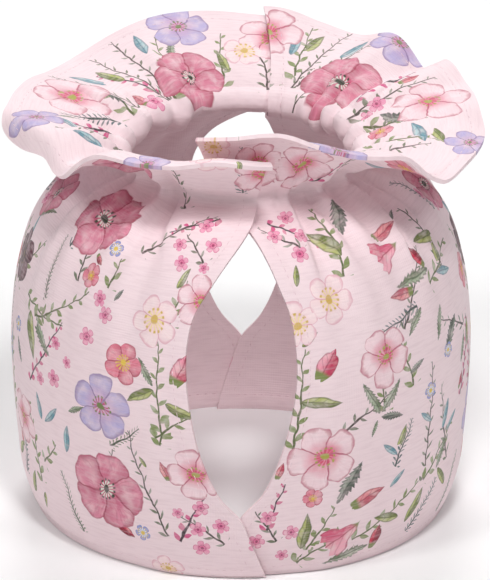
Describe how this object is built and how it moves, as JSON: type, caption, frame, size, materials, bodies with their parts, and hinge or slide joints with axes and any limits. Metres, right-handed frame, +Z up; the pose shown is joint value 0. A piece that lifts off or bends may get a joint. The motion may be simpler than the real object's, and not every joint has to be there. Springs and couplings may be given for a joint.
{
  "type": "tea cosy",
  "caption": "Hollow fitted cosy of printed cloth in two lapped halves, drawn in at the neck, with a frilled collar and slits for spout and handle.",
  "frame": {"origin": "centre of the outline seen from above, at the level of the hem", "axes": "+Z up from the hem to the neck, -Y towards the spout slit, +X towards the right half as seen from the front"},
  "size_m": [0.178, 0.1743, 0.1695],
  "materials": {
    "printed_cloth": "matte woven cloth with a printed flower pattern"
  },
  "bodies": {
    "root": {"panel_left": "printed_cloth", "panel_right": "printed_cloth"}
  },
  "joints": []
}
